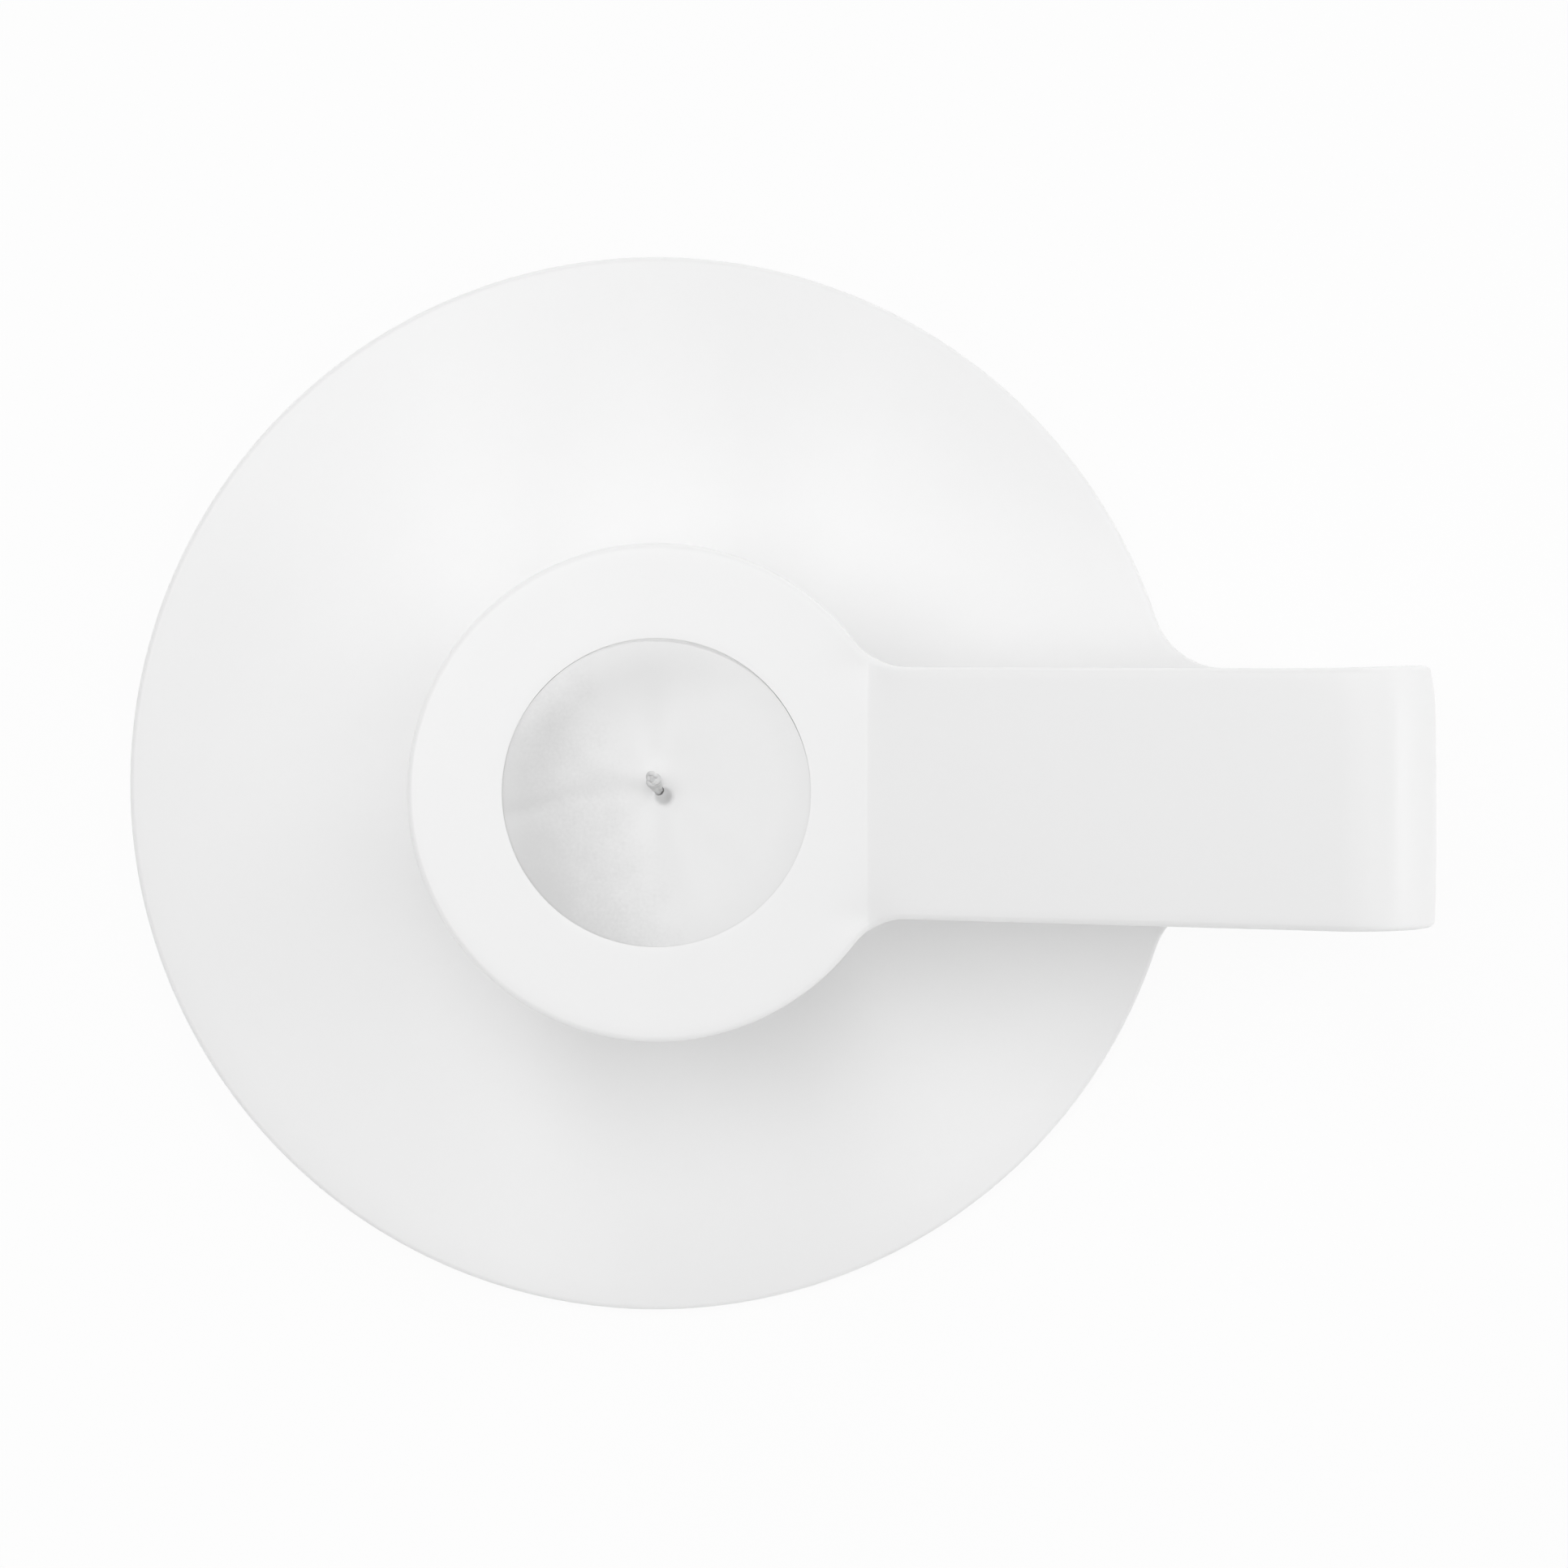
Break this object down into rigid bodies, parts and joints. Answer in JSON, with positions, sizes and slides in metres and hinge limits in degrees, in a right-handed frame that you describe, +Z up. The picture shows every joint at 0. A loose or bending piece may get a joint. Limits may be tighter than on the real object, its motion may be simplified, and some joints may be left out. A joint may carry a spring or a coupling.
{
  "type": "candle plate",
  "caption": "Round plate with a folded finger loop whose strap ends in a flat ring that holds a short candle upright over the plate's centre.",
  "frame": {"origin": "on the resting plane, under the centre of the round plate and of the ring", "axes": "+Z up, +X from the plate's centre towards the finger loop"},
  "size_m": [0.1739, 0.15, 0.0666],
  "materials": {
    "powder_coat": "white satin powder coat on sheet steel",
    "pad_rubber": "matt grey foam rubber",
    "wax": "white paraffin wax, soft satin",
    "wick_cotton": "waxed braided cotton",
    "tab_tin": "bright tin plate"
  },
  "bodies": {
    "holder": {"holder_sheet": "powder_coat", "foot_pad": "pad_rubber"},
    "candle": {"candle_wax": "wax", "wick": "wick_cotton", "wick_tab": "tab_tin"}
  },
  "joints": [
    {"name": "candle_lift", "type": "slide", "parent": "holder", "child": "candle", "axis": [0, 0, 1], "range_m": [0, 0.07]}
  ]
}
